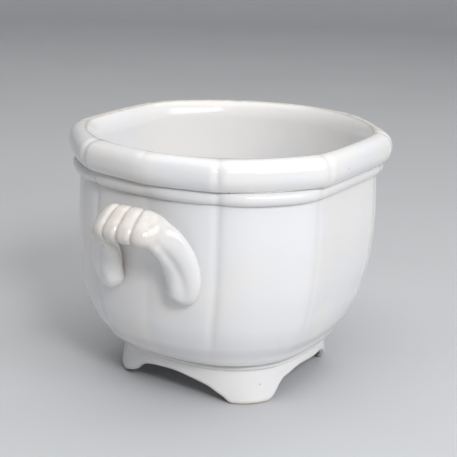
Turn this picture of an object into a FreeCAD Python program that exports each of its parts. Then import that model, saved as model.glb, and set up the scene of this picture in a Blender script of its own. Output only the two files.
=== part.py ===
import FreeCAD, Part
import Sketcher
import math
import os

# A glazed ceramic planter: a bowl pressed into ten upright lobes, flat at the front and back and full at
# the corners, a rim of two rolls that are nipped in at every crease, a squarish base cut into four bracket
# feet, and two strap handles. The hand-made belly leans a few millimetres to one side.
# Millimetres, +Z up, origin on the floor under the middle of the bowl. The handles lie on the X axis.

SIZES = [
    # bowl
    ("crease_radius", 122.3),
    ("corner_reach", 3.2),
    ("bowl_height", 146.7),
    ("bowl_wall", 6.8),
    ("bowl_floor", 7.5),
    ("wall_draft", 7.3),
    ("cove_radius", 48.0),
    ("flat_half", 106.5),
    ("flat_draft", 12.0),
    ("narrow_bulge", 3.2),
    ("middle_bulge", 9.0),
    ("wide_bulge", 1.4),
    ("valley_width", 8.5),
    ("belly_lean", 3.2),
    # rim
    ("bead_height", 11.8),
    ("bead_overhang", 4.2),
    ("roll_height", 25.1),
    ("roll_overhang", 13.4),
    ("mouth_flare", 7.0),
    ("flat_flare", 9.0),
    ("flare_height", 16.0),
    ("land_width", 1.8),
    ("narrow_rim_bulge", 1.6),
    ("middle_rim_bulge", 5.9),
    ("wide_rim_bulge", 2.5),
    ("nip_depth", 1.1),
    # base
    ("base_height", 32.5),
    ("base_radius", 86.8),
    ("base_square", 3.2),
    ("base_wall", 6.0),
    ("collar_height", 4.0),
    ("collar_step", 0.8),
    ("foot_flare", 3.5),
    ("base_spread", 1.2),
    ("foot_width", 29.0),
    ("arch_height", 22.0),
    # handles
    ("stand_off", 31.1),
    ("crown_width", 47.0),
    ("crown_height", 163.8),
    ("handle_foot_height", 105.0),
    ("leg_spread", 36.0),
    ("strap_width", 28.0),
    ("strap_thickness", 14.5),
    ("rib_depth", 1.6),
    ("vein_depth", 2.2),
    ("cut_overrun", 5.0),
]

# creases, as angles from the handle axis in one quarter of the plan
NARROW_CREASE_ANGLE = 27.0
WIDE_CREASE_ANGLE = 65.1
LOBE_POWER = 2.6
LOBE_STEPS = 6

# each row of the bowl's outline: height, radius from the base out to the crease radius, facet and bulge,
# squareness, lean
BOWL_SHARES = [
    (0.000, 0.000, 0.06, 1.00, 0.00),
    (0.030, 0.269, 0.12, 0.90, 0.67),
    (0.085, 0.428, 0.30, 0.60, 1.00),
    (0.163, 0.649, 0.55, 0.30, 1.00),
    (0.295, 0.846, 0.85, 0.08, 0.86),
    (0.507, 0.967, 1.00, 0.00, 0.27),
    (0.772, 1.015, 1.00, 0.00, 0.05),
    (1.000, 0.981, 1.00, 0.00, 0.00),
]
LEAN_ANGLE = 120.5
STRAIGHT_SHARE = 0.8
BOWL_STEPS = 15
BOWL_STEP_POWER = 1.35
NOTCH_ANGLE = 60.0
BEAD_ANGLES = [-60, -30, 0, 30, NOTCH_ANGLE]
ROLL_ANGLES = [-42, -22, 0, 22, 42, 60, 78]
LEAST_ROLL_SHARE = 0.25
BEAD_SWELL_SHARE = 0.36
BEAD_FADE_SHARE = 0.5
ROLL_FADE_SHARE = 0.2
LAND_SHARE = 0.1

# each row of the base's outline: height, spread, flare at the feet
BASE_SHARES = [
    (0.00, 0.60, 0.80),
    (0.13, 1.00, 1.00),
    (0.36, 0.75, 0.60),
    (0.62, 0.45, 0.22),
    (0.85, 0.15, 0.03),
    (1.00, 0.00, 0.00),
]
BASE_POINTS = 32
FOOT_ANGLE = 16.0

# each row of a handle's half: way out from the wall, way to the side, rise, width, thickness,
# upward tilt and sideways turn of the outer face in degrees
STRAP_SHARES = [
    (1.000, 0.000, 1.000, 1.04, 1.00, 52, 0),
    (0.960, 0.450, 0.992, 1.00, 0.98, 50, 1),
    (0.740, 0.700, 0.900, 0.95, 0.92, 42, 3),
    (0.450, 0.845, 0.725, 0.95, 0.84, 30, 6),
    (0.225, 0.935, 0.490, 0.98, 0.80, 17, 8),
    (0.070, 0.975, 0.240, 1.05, 0.78, 8, 10),
    (-0.060, 0.970, 0.040, 1.08, 0.74, 0, 12),
    (-0.180, 0.945, -0.060, 0.84, 0.60, -10, 12),
]
RIBS_PER_HALF = 2
RIB_SHARES = [0.0, 0.10, 0.28, 0.5, 0.72, 0.90]
RIB_POWER = 3.0
LEG_SHARES = [0.0, 0.08, 0.2, 0.34, 0.48, 0.62, 0.75, 0.86, 0.94, 1.0]
STRAP_POINTS = 24
QUARTER_POINTS = STRAP_POINTS // 4
STRAP_ROUNDNESS = 0.75
VEIN_SHARE = 0.28
VEIN_POWER = 0.7

doc = FreeCAD.newDocument("Planter")
sheet = doc.addObject("Spreadsheet::Sheet", "Sizes")
for row, (alias, value) in enumerate(SIZES, start=1):
    sheet.set("A%d" % row, alias)
    sheet.set("B%d" % row, str(value))
    sheet.setAlias("B%d" % row, alias)
doc.recompute()


def size(alias):
    """One driving dimension from the sheet."""
    return float(sheet.get(alias))


def polar(radius, degrees, height):
    turn = math.radians(degrees)
    return FreeCAD.Vector(radius * math.cos(turn), radius * math.sin(turn), height)


# Lobed sections

def crease_angles():
    quarter = [0.0, NARROW_CREASE_ANGLE, WIDE_CREASE_ANGLE]
    half = quarter + [180.0 - angle for angle in reversed(quarter[1:])]
    return half + [180.0 + angle for angle in half] + [360.0]


def crease_reach(degrees):
    """How far a crease stands out past the two that lie behind the handles."""
    return size("corner_reach") if degrees % 180.0 else 0.0


def lobe_radius(degrees, start, end, radius, bulge, facet, square, nip):
    """Radius on a lobe: drawn from round towards a straight facet between its creases, out by the bulge
    in its middle, in by the nip beside its creases."""
    first = radius + crease_reach(start)
    last = radius + crease_reach(end)
    after_start = math.sin(math.radians(degrees - start))
    before_end = math.sin(math.radians(end - degrees))
    width = math.sin(math.radians(end - start))
    straight = first * last * width / (first * after_start + last * before_end)
    across = abs((2.0 * degrees - start - end) / (end - start))
    swell = bulge * (1.0 - across ** LOBE_POWER)
    reach = math.radians(min(degrees - start, end - degrees)) * radius / (0.5 * size("valley_width"))
    pinch = nip * max(0.0, 1.0 - reach ** 2)
    corners = square * math.cos(math.radians(4.0 * degrees))
    return radius + facet * (straight - radius) - corners + swell - pinch


def curve_edge(points):
    """A smooth edge through points, with the same spacing on every section."""
    curve = Part.BSplineCurve()
    steps = [index / (len(points) - 1.0) for index in range(len(points))]
    curve.interpolate(Points=points, Parameters=steps)
    return curve.toShape()


def lobed_wire(height, radius, swells, facet, square, nip):
    """Ten lobes and ten narrow valleys at one height."""
    creases = crease_angles()
    bulge_order = [swells[kind] for kind in (0, 1, 2, 1, 0)] * 2
    valley = math.degrees(0.5 * size("valley_width") / size("crease_radius"))
    edges = []
    for index, (start, end) in enumerate(zip(creases, creases[1:])):
        def at(degrees, start=start, end=end, bulge=bulge_order[index]):
            out = lobe_radius(degrees, start, end, radius, bulge, facet, square, nip)
            return polar(out, degrees, height)
        first = start + valley
        last = end - valley
        lobe = [at(first + (last - first) * step / LOBE_STEPS) for step in range(LOBE_STEPS + 1)]
        following = bulge_order[(index + 1) % len(bulge_order)]
        next_end = creases[index + 2] if index + 2 < len(creases) else 360.0 + NARROW_CREASE_ANGLE
        beyond = at(end + valley, end, next_end, following)
        edges.append(curve_edge(lobe))
        edges.append(curve_edge([lobe[-1], at(end), beyond]))
    return Part.Wire(edges)


def bulges(prefix, share):
    return [size(name + prefix) * share for name in ("narrow_", "middle_", "wide_")]


# Bowl

def steady_row(rows, place):
    """Values at a place along a table, its first column, on curves that never overshoot its rows."""
    spans = [end[0] - start[0] for start, end in zip(rows, rows[1:])]
    index = max(at for at in range(len(spans)) if rows[at][0] <= place or at == 0)
    part = (place - rows[index][0]) / spans[index]
    values = []
    for column in range(1, len(rows[0])):
        rises = [(end[column] - start[column]) / span for start, end, span in zip(rows, rows[1:], spans)]
        slopes = [rises[0]]
        for one, two in zip(rises, rises[1:]):
            slopes.append(2.0 * one * two / (one + two) if one * two > 0.0 else 0.0)
        slopes.append(rises[-1])
        start = rows[index][column]
        end = rows[index + 1][column]
        lean = spans[index] * (slopes[index] * part * (1.0 - part) ** 2
                               - slopes[index + 1] * part ** 2 * (1.0 - part))
        values.append(start + (end - start) * part ** 2 * (3.0 - 2.0 * part) + lean)
    return values


def bowl_wire(share):
    out, facet, square, lean = steady_row(BOWL_SHARES, share)
    radius = size("base_radius") + out * (size("crease_radius") - size("base_radius"))
    height = size("base_height") + share * size("bowl_height")
    wire = lobed_wire(height, radius, bulges("bulge", facet), facet, square * size("base_square"), 0.0)
    wire.translate(polar(lean * size("belly_lean"), LEAN_ANGLE, 0.0))
    return wire


def bowl_outside():
    steps = [(index / BOWL_STEPS) ** BOWL_STEP_POWER for index in range(BOWL_STEPS + 1)]
    return Part.makeLoft([bowl_wire(step) for step in steps], True, False)


def rim_seat():
    return size("base_height") + size("bowl_height")


def notch_height():
    return rim_seat() + size("bead_height")


def rim_top():
    return notch_height() + size("roll_height")


def mouth_radius():
    return size("crease_radius") - size("bowl_wall") + size("mouth_flare")


def roll_half(height):
    """Half the thickness of a roll that stops at the notch."""
    return height / (1.0 + math.sin(math.radians(NOTCH_ANGLE)))


def rim_wire(height, radius, swells, share, fade):
    """The rim's outline at one height, a little rounder where the share is less than one."""
    facet = 1.0 - fade * (1.0 - share)
    return lobed_wire(height, radius, [swell * facet for swell in swells], facet, 0.0,
                      share * size("nip_depth"))


def roll_wire(middle, half, overhang, angle, swells, fade):
    """The rim's outline where its section stands at an angle up from the roll's widest line."""
    turn = math.radians(angle)
    radius = size("crease_radius") + overhang - half * (1.0 - math.cos(turn))
    share = max(LEAST_ROLL_SHARE, math.cos(turn)) if angle > 0.0 else 1.0
    return rim_wire(middle + half * math.sin(turn), radius, swells, share, fade)


def rim_outside():
    """A small roll that starts on the bowl's own outline, a plain underside that spreads from the notch
    above it, and a large roll."""
    bead_half = roll_half(size("bead_height"))
    bead_middle = rim_seat() + bead_half
    swells = bulges("rim_bulge", 1.0)
    bead_swells = [wall + BEAD_SWELL_SHARE * swell for wall, swell in zip(bulges("bulge", 1.0), swells)]
    bead = [bowl_wire(1.0)]
    for angle in BEAD_ANGLES:
        bead.append(roll_wire(bead_middle, bead_half, size("bead_overhang"), angle, bead_swells,
                              BEAD_FADE_SHARE))
    half = roll_half(size("roll_height"))
    roll = []
    for angle in ROLL_ANGLES:
        roll.append(roll_wire(rim_top() - half, half, size("roll_overhang"), angle, swells,
                              ROLL_FADE_SHARE))
    land = mouth_radius() + size("land_width")
    roll.append(rim_wire(rim_top(), land, swells, LAND_SHARE, ROLL_FADE_SHARE))
    under = Part.makeLoft([bead[-1], roll[0]], True, True)
    return Part.makeLoft(bead, True, False).fuse([under, Part.makeLoft(roll, True, False)])


# Base

def base_wire(height, radius, flare, inset):
    points = []
    for index in range(BASE_POINTS):
        degrees = 360.0 * index / BASE_POINTS
        from_foot = (degrees % 90.0 - 45.0) / FOOT_ANGLE
        reach = radius - size("base_square") * math.cos(math.radians(4.0 * degrees))
        points.append(polar(reach + flare * math.exp(-from_foot ** 2) - inset, degrees, height))
    curve = Part.BSplineCurve()
    curve.interpolate(Points=points, PeriodicFlag=True)
    return Part.Wire([curve.toShape()])


def apron_loft(inset, overrun):
    """The splayed apron down to the feet, or the hollow inside it."""
    height = size("base_height") - size("collar_height")
    wires = []
    if overrun:
        widest = size("base_radius") + size("base_spread")
        wires.append(base_wire(-overrun, widest, size("foot_flare"), inset))
    for rise, spread, flare in BASE_SHARES:
        radius = size("base_radius") + spread * size("base_spread")
        wires.append(base_wire(rise * height, radius, flare * size("foot_flare"), inset))
    if overrun:
        wires.append(base_wire(size("base_height") + overrun, size("base_radius"), 0.0, inset))
    return Part.makeLoft(wires, True, False)


def collar_loft():
    """The plain band just under the bowl."""
    radius = size("base_radius") + size("collar_step")
    low = base_wire(size("base_height") - size("collar_height"), radius, 0.0, 0.0)
    high = base_wire(size("base_height"), radius, 0.0, 0.0)
    return Part.makeLoft([low, high], True, True)


# Handles

def smooth_row(rows, position):
    """Values part of the way along a table of rows, on a curve that runs through every row."""
    index = min(int(position), len(rows) - 2)
    part = position - index
    before = rows[max(index - 1, 0)]
    start = rows[index]
    end = rows[index + 1]
    after = rows[min(index + 2, len(rows) - 1)]
    values = []
    for a, b, c, d in zip(before, start, end, after):
        bend = (2.0 * a - 5.0 * b + 4.0 * c - d) * part + (3.0 * b - a - 3.0 * c + d) * part ** 2
        values.append(0.5 * (2.0 * b + (c - a) * part + bend * part))
    return values


def strap_place(position):
    """Centre of the strap and its width, thickness, tilt and turn, part of the way from crown to foot."""
    out, side, rise, width, thickness, tilt, turn = smooth_row(STRAP_SHARES, position)
    foot = size("handle_foot_height")
    centre = FreeCAD.Vector(size("crease_radius") + out * size("stand_off"),
                            side * size("leg_spread"),
                            foot + rise * (size("crown_height") - foot))
    return centre, width * size("strap_width"), thickness * size("strap_thickness"), tilt, turn


def strap_lengths(count=140):
    """Length along the strap at even positions in the table."""
    last = len(STRAP_SHARES) - 1.0
    positions = [last * index / count for index in range(count + 1)]
    lengths = [0.0]
    for one, two in zip(positions, positions[1:]):
        lengths.append(lengths[-1] + strap_place(one)[0].distanceToPoint(strap_place(two)[0]))
    return positions, lengths


POSITIONS, LENGTHS = strap_lengths()


def position_at(length):
    for index in range(1, len(LENGTHS)):
        if LENGTHS[index] >= length:
            part = (length - LENGTHS[index - 1]) / (LENGTHS[index] - LENGTHS[index - 1])
            return POSITIONS[index - 1] + part * (POSITIONS[index] - POSITIONS[index - 1])
    return POSITIONS[-1]


def strap_wire(length, swell, vein):
    """A rounded section across the strap: swollen on a rib, dented along the outer face of a leg. The
    length runs from the middle of the crown, and is less than zero on the other half."""
    position = position_at(abs(length))
    centre, width, thickness, tilt, turn = strap_place(position)
    step = 0.02
    ahead = strap_place(min(position + step, POSITIONS[-1]))[0]
    behind = strap_place(max(position - step, 0.0))[0]
    along = FreeCAD.Vector(0, 1, 0) if position < step else (ahead - behind).normalize()
    tilt = math.radians(tilt)
    turn = math.radians(turn)
    face = FreeCAD.Vector(math.cos(tilt) * math.cos(turn), math.cos(tilt) * math.sin(turn), math.sin(tilt))
    face = (face - along * face.dot(along)).normalize()
    across = along.cross(face)
    points = []
    for index in range(STRAP_POINTS + 1):
        angle = 2.0 * math.pi * (index % STRAP_POINTS + 0.5 * QUARTER_POINTS) / STRAP_POINTS
        side = math.copysign(abs(math.cos(angle)) ** STRAP_ROUNDNESS, math.cos(angle))
        rise = math.copysign(abs(math.sin(angle)) ** STRAP_ROUNDNESS, math.sin(angle))
        dent = vein * math.exp(-(side / VEIN_SHARE) ** 2) if rise > 0.0 else 0.0
        point = (centre + across * (side * (0.5 * width + swell))
                 + face * (rise * (0.5 * thickness + swell) - dent))
        points.append(FreeCAD.Vector(point.x, math.copysign(1.0, length) * point.y, point.z))
    starts = range(0, STRAP_POINTS, QUARTER_POINTS)
    return Part.Wire([curve_edge(points[start:start + QUARTER_POINTS + 1]) for start in starts])


def handle_strap():
    """A whole handle in one run from foot to foot: the ribs of its crown, and a leg at each end."""
    rib = size("crown_width") / (2.0 * RIBS_PER_HALF)
    half = []
    for index in range(RIBS_PER_HALF):
        for share in RIB_SHARES:
            swell = size("rib_depth") * (1.0 - abs(2.0 * share - 1.0) ** RIB_POWER)
            half.append(((index + share) * rib, swell, 0.0))
    start = RIBS_PER_HALF * rib
    for share in LEG_SHARES:
        swell = 0.5 * size("rib_depth") * max(0.0, 1.0 - share / LEG_SHARES[2]) * share / LEG_SHARES[1]
        vein = size("vein_depth") * math.sin(math.pi * share ** VEIN_POWER)
        half.append((start + share * (LENGTHS[-1] - start), swell, vein))
    other = [(-length, swell, vein) for length, swell, vein in reversed(half[1:])]
    return Part.makeLoft([strap_wire(*row) for row in other + half], True, False)


# Document objects

def shape_object(name, shape, turn=0.0):
    item = doc.addObject("Part::Feature", name)
    item.Shape = shape
    upright = FreeCAD.Vector(0, 0, 1)
    item.Placement = FreeCAD.Placement(FreeCAD.Vector(0, 0, 0), FreeCAD.Rotation(upright, turn))
    return item


def boolean(kind, name, base, tool):
    item = doc.addObject(kind, name)
    item.Base = base
    item.Tool = tool
    return item


def plane(body, role):
    return [item for item in body.Origin.OriginFeatures if item.Role == role][0]


def number(expression):
    return float(sheet.evalExpression(expression))


def turned_body(name, corners, arc_side=None):
    """A solid turned about Z. Each corner is a pair of expressions, radius and height, and the side that
    leaves corner arc_side is an arc that starts upright there."""
    body = doc.addObject("PartDesign::Body", name)
    sketch = body.newObject("Sketcher::SketchObject", name + "_outline")
    sketch.AttachmentSupport = [(plane(body, "XZ_Plane"), "")]
    sketch.MapMode = "FlatFace"
    points = [FreeCAD.Vector(number(across), number(up), 0) for across, up in corners]
    ends = []
    for index, start in enumerate(points):
        end = points[(index + 1) % len(points)]
        if index == arc_side:
            out = end.x - start.x
            up = end.y - start.y
            bend = (out ** 2 + up ** 2) / (2.0 * out)
            circle = Part.Circle(start + FreeCAD.Vector(bend, 0, 0), FreeCAD.Vector(0, 0, 1), bend)
            turn = math.pi - math.asin(up / bend)
            sketch.addGeometry(Part.ArcOfCircle(circle, turn, math.pi), False)
            ends.append((2, 1))
        else:
            sketch.addGeometry(Part.LineSegment(start, end), False)
            ends.append((1, 2))
    for index in range(len(points)):
        before = index - 1 if index else len(points) - 1
        kind = "Tangent" if index == arc_side else "Coincident"
        sketch.addConstraint(Sketcher.Constraint(kind, before, ends[before][1], index, ends[index][0]))
    for index, (across, up) in enumerate(corners):
        start = ends[index][0]
        if across == "0":
            sketch.addConstraint(Sketcher.Constraint("PointOnObject", index, start, -2))
        else:
            bound(sketch, Sketcher.Constraint("DistanceX", -1, 1, index, start, number(across)), across)
        bound(sketch, Sketcher.Constraint("DistanceY", -1, 1, index, start, number(up)), up)
    turned = body.newObject("PartDesign::Revolution", name + "_turned")
    turned.Profile = sketch
    turned.ReferenceAxis = (sketch, ["V_Axis"])
    turned.Angle = 360.0
    doc.recompute()
    return body, turned


def bound(sketch, constraint, expression):
    sketch.addConstraint(constraint)
    index = sketch.ConstraintCount - 1
    sketch.setExpression("Constraints[%d]" % index, expression)


def round_edge(body, base, radius_expression, wanted):
    """Round the edges of a body that the test picks."""
    names = ["Edge%d" % number for number, edge in enumerate(base.Shape.Edges, start=1) if wanted(edge)]
    fillet = body.newObject("PartDesign::Fillet", body.Name + "_round")
    fillet.Base = (base, names)
    fillet.setExpression("Radius", radius_expression)
    body.Tip = fillet


# Bowl

FLOOR = "Sizes.base_height + Sizes.bowl_floor"
BEND = "Sizes.base_height + %s * Sizes.bowl_height" % STRAIGHT_SHARE
SEAT = "Sizes.base_height + Sizes.bowl_height"
TOP = SEAT + " + Sizes.bead_height + Sizes.roll_height"
INSIDE = "Sizes.crease_radius - Sizes.bowl_wall"
FLAT = "Sizes.flat_half"
WAY_ACROSS = "Sizes.crease_radius + Sizes.roll_overhang"


def flat_slab(name, rows):
    """The space between the flat inner faces at the front and back: half widths at heights, upwards."""
    wedges = []
    for number_up, ((low_half, low), (high_half, high)) in enumerate(zip(rows, rows[1:]), start=1):
        wedge = doc.addObject("Part::Wedge", "%s_%d" % (name, number_up))
        upright = FreeCAD.Rotation(FreeCAD.Vector(1, 0, 0), 90)
        wedge.Placement = FreeCAD.Placement(FreeCAD.Vector(0, 0, 0), upright)
        ends = [("Ymin", low), ("Ymax", high), ("Zmax", low_half), ("Z2max", high_half),
                ("Xmax", WAY_ACROSS), ("X2max", WAY_ACROSS)]
        for side, expression in ends:
            wedge.setExpression(side, expression)
            if side[0] != "Y":
                wedge.setExpression(side.replace("max", "min"), "-(%s)" % expression)
        wedges.append(wedge)
    slab = doc.addObject("Part::MultiFuse", name)
    slab.Shapes = wedges
    return slab


def make_bowl(outside):
    hollow, turned = turned_body("bowl_hollow", [
        ("0", FLOOR),
        (INSIDE + " - Sizes.wall_draft", FLOOR),
        (INSIDE, BEND),
        (INSIDE, SEAT + " + Sizes.cut_overrun"),
        ("0", SEAT + " + Sizes.cut_overrun"),
    ])
    floor = number(FLOOR)
    round_edge(hollow, turned, "Sizes.cove_radius",
               lambda edge: abs(edge.BoundBox.ZMax - floor) < 0.01 and edge.BoundBox.XMax > 1.0)
    slab = flat_slab("bowl_flats", [
        (FLAT + " - Sizes.flat_draft", "Sizes.base_height"),
        (FLAT, BEND),
        (FLAT, SEAT + " + 2 * Sizes.cut_overrun"),
    ])
    space = boolean("Part::Common", "bowl_inside", hollow, slab)
    return boolean("Part::Cut", "bowl", outside, space)


def make_rim():
    hollow, turned = turned_body("rim_hollow", [
        ("0", SEAT + " - Sizes.cut_overrun"),
        (INSIDE, SEAT + " - Sizes.cut_overrun"),
        (INSIDE, TOP + " - Sizes.flare_height"),
        (INSIDE + " + Sizes.mouth_flare", TOP),
        (INSIDE + " + Sizes.mouth_flare", TOP + " + Sizes.cut_overrun"),
        ("0", TOP + " + Sizes.cut_overrun"),
    ], arc_side=2)
    slab = flat_slab("rim_flats", [
        (FLAT, SEAT + " - 2 * Sizes.cut_overrun"),
        (FLAT, TOP + " - Sizes.flare_height"),
        (FLAT + " + Sizes.flat_flare", TOP),
        (FLAT + " + Sizes.flat_flare", TOP + " + 2 * Sizes.cut_overrun"),
    ])
    space = boolean("Part::Common", "rim_inside", hollow, slab)
    return boolean("Part::Cut", "rim_ring", shape_object("rim_outside", rim_outside()), space)


# Base: a ring that is hollow underneath, arched on all four sides so that four feet are left

ARCH_HALF = ("(Sizes.base_radius + Sizes.base_square + Sizes.foot_flare + Sizes.base_spread"
             " - 0.5 * Sizes.foot_width) / sqrt(2)")
ARCH_RADIUS = "((%s) ^ 2 + Sizes.arch_height ^ 2) / (2 * Sizes.arch_height)" % ARCH_HALF
ARCH_LENGTH = "4 * Sizes.base_radius"


def arch(name, turn):
    cylinder = doc.addObject("Part::Cylinder", name)
    sideways = FreeCAD.Rotation(FreeCAD.Vector(0, 0, 1), turn)
    lying = FreeCAD.Rotation(FreeCAD.Vector(0, 1, 0), 90)
    cylinder.Placement = FreeCAD.Placement(FreeCAD.Vector(0, 0, 0), sideways.multiply(lying))
    cylinder.setExpression("Radius", ARCH_RADIUS)
    cylinder.setExpression("Height", ARCH_LENGTH)
    cylinder.setExpression("Placement.Base.%s" % ("y" if turn else "x"), "-0.5 * " + ARCH_LENGTH)
    cylinder.setExpression("Placement.Base.z", "Sizes.arch_height - " + ARCH_RADIUS)
    return cylinder


def make_base():
    outside = shape_object("base_outside", apron_loft(0.0, 0.0).fuse(collar_loft()))
    hollow = shape_object("base_hollow", apron_loft(size("base_wall"), size("cut_overrun")))
    ring = boolean("Part::Cut", "base_ring", outside, hollow)
    arches = boolean("Part::Fuse", "base_arches", arch("arch_along", 0.0), arch("arch_across", 90.0))
    return boolean("Part::Cut", "foot_base", ring, arches)


def make_handle(name, turn, outside, strap):
    """One handle, cut to sit on the lobed wall."""
    return boolean("Part::Cut", name, shape_object(name + "_strap", strap, turn), outside)


def check_and_write(nodes):
    doc.recompute()
    for item in doc.Objects:
        if "Invalid" in item.State or "Error" in item.State:
            raise RuntimeError("%s is %s" % (item.Name, item.State))
    os.makedirs("parts", exist_ok=True)
    for node in nodes:
        shape = node.Shape
        if shape.isNull() or not shape.isValid() or len(shape.Solids) != 1:
            raise RuntimeError("%s has a bad shape" % node.Label)
        box = shape.optimalBoundingBox(False, False)
        print("%-13s %9.0f mm3  x %.1f..%.1f  y %.1f..%.1f  z %.1f..%.1f"
              % (node.Label, shape.Volume, box.XMin, box.XMax, box.YMin, box.YMax, box.ZMin, box.ZMax))
        shape.exportStep("parts/%s.step" % node.Label)


def main():
    outside = shape_object("bowl_outside", bowl_outside())
    strap = handle_strap()
    nodes = [
        make_bowl(outside),
        make_rim(),
        make_base(),
        make_handle("handle_left", 180.0, outside, strap),
        make_handle("handle_right", 0.0, outside, strap),
    ]
    check_and_write(nodes)


main()
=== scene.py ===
import math
from functools import partial

import bpy
import numpy as np
from bpy.props import FloatProperty, FloatVectorProperty, IntProperty, PointerProperty
from mathutils import Matrix, Vector


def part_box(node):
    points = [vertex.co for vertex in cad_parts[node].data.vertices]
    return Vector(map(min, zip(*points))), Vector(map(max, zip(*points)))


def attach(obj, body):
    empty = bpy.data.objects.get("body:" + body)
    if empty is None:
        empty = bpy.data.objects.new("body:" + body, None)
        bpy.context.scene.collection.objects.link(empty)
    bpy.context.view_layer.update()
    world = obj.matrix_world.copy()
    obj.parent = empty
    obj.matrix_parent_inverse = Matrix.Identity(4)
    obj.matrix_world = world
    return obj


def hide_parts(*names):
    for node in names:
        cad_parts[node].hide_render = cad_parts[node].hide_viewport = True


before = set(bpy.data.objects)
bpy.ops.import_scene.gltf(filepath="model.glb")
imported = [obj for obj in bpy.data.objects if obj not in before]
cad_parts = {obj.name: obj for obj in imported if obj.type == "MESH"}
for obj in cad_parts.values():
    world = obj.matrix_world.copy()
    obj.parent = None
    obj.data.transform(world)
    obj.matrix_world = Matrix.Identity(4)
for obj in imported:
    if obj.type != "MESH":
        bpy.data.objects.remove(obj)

bl_info = {
    "name": "Glazed ceramic planter",
    "version": (1, 0, 0),
    "blender": (4, 5, 0),
    "location": "3D View > Sidebar > Planter",
    "description": "Builds a lobed bowl planter with a double rim, bracket feet and ribbed strap handles",
    "category": "Object",
}

MM = 0.001
BOWL_LOW, BOWL_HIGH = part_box("bowl")
RIM_LOW, RIM_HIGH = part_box("rim_ring")
BASE_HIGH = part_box("foot_base")[1]


def mm(value, name, description):
    return FloatProperty(name=name, description=description, default=value * MM, unit="LENGTH",
                         subtype="DISTANCE", precision=5)


def turn(degrees, name, description):
    return FloatProperty(name=name, description=description, default=math.radians(degrees), subtype="ANGLE")


def plain(value, name, description):
    return FloatProperty(name=name, description=description, default=value, subtype="FACTOR")


def count(value, name, description):
    return IntProperty(name=name, description=description, default=value, min=2)


def srgb(code):
    """A hex colour, as it is seen, turned to the linear numbers that the shaders mix."""
    parts = [int(code[at:at + 2], 16) / 255.0 for at in (1, 3, 5)]
    linear = [part / 12.92 if part <= 0.04045 else ((part + 0.055) / 1.055) ** 2.4 for part in parts]
    return (*linear, 1.0)


def colour(code, name, description):
    return FloatVectorProperty(name=name, description=description, default=srgb(code), size=4,
                               subtype="COLOR", min=0.0, max=1.0)


class PlanterLobes(bpy.types.PropertyGroup):
    narrow_crease: turn(27.0, "Narrow Crease", "Angle from the handle axis to the first crease")
    wide_crease: turn(65.1, "Wide Crease", "Angle from the handle axis to the crease beside the widest lobe")
    corner: mm(3.2, "Corner Reach", "How much further out the creases lie that aren't behind a handle")
    narrow_bulge: mm(3.2, "Narrow Bulge", "How far the two lobes behind each handle swell")
    middle_bulge: mm(9.0, "Middle Bulge", "How far the four corner lobes swell")
    wide_bulge: mm(1.4, "Wide Bulge", "How far the nearly flat front and back lobes swell")
    power: plain(2.6, "Roundness", "How squarely a lobe fills out towards its creases")
    softness: mm(0.55, "Crease Softness", "Depth of glaze that rounds the bottom of a crease")
    steps: count(44, "Steps per Lobe", "Columns of the mesh across each lobe")


class PlanterBowl(bpy.types.PropertyGroup):
    crease_radius: mm(122.3, "Crease Radius", "Radius of the wall at the bottom of its handle creases")
    wall: mm(6.8, "Wall", "Thickness of the wall at a handle crease")
    draft: mm(7.3, "Draft", "How much the inside narrows towards the floor")
    floor: mm(7.5, "Floor", "Thickness of the floor")
    cove: mm(48.0, "Cove", "Radius between the wall and the floor inside")
    flat: mm(106.5, "Inner Flats", "Distance from the middle to the flat inner faces at the front and back")
    flat_draft: mm(12.0, "Flats' Draft", "How much the flat inner faces lean in towards the floor")
    lean: mm(3.2, "Lean", "How far the hand-made belly leans to one side")
    lean_way: turn(120.5, "Lean Direction", "Way in which the belly leans, from the handle axis")


class PlanterRim(bpy.types.PropertyGroup):
    bead_height: mm(11.8, "Bead Height", "Height of the small lower roll")
    bead_overhang: mm(4.2, "Bead Overhang", "How far the small roll stands out from the creases")
    roll_overhang: mm(13.4, "Roll Overhang", "How far the large roll stands out from the creases")
    mouth_flare: mm(7.0, "Mouth Flare", "How far the inside opens out at the lip")
    flat_flare: mm(9.0, "Flats' Flare", "How far the flat inner faces open out at the lip")
    flare_height: mm(16.0, "Flare Height", "Height over which the mouth opens out")
    narrow_bulge: mm(1.6, "Narrow Rim Bulge", "Swell of the rim over the lobes behind each handle")
    middle_bulge: mm(4.0, "Middle Rim Bulge", "Swell of the rim over the corner lobes")
    wide_bulge: mm(2.5, "Wide Rim Bulge", "Swell of the rim over the front and back lobes")
    nip: mm(2.6, "Nip", "Depth of the pinches where the creases cross the large roll")
    nip_reach: mm(7.5, "Nip Reach", "Distance from a crease over which a roll rounds down into it")


class PlanterBase(bpy.types.PropertyGroup):
    radius: mm(86.8, "Radius", "Mean radius of the squarish base")
    square: mm(3.2, "Squareness", "How far the base's plan reaches towards its corners")
    wall: mm(6.0, "Wall", "Thickness of the apron")
    collar_height: mm(4.0, "Collar Height", "Height of the band under the bowl")
    collar_step: mm(0.9, "Collar Step", "How far the band stands out")
    flare: mm(3.8, "Foot Flare", "How far the toes kick out")
    tuck: mm(3.0, "Toe Tuck", "How far the toes away from the front are drawn in under themselves")
    spread: mm(1.2, "Spread", "How far the whole apron splays")
    arch: mm(22.3, "Arch Height", "Height of the arches between the feet")
    steps: count(360, "Steps", "Columns of the mesh round the base")


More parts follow.
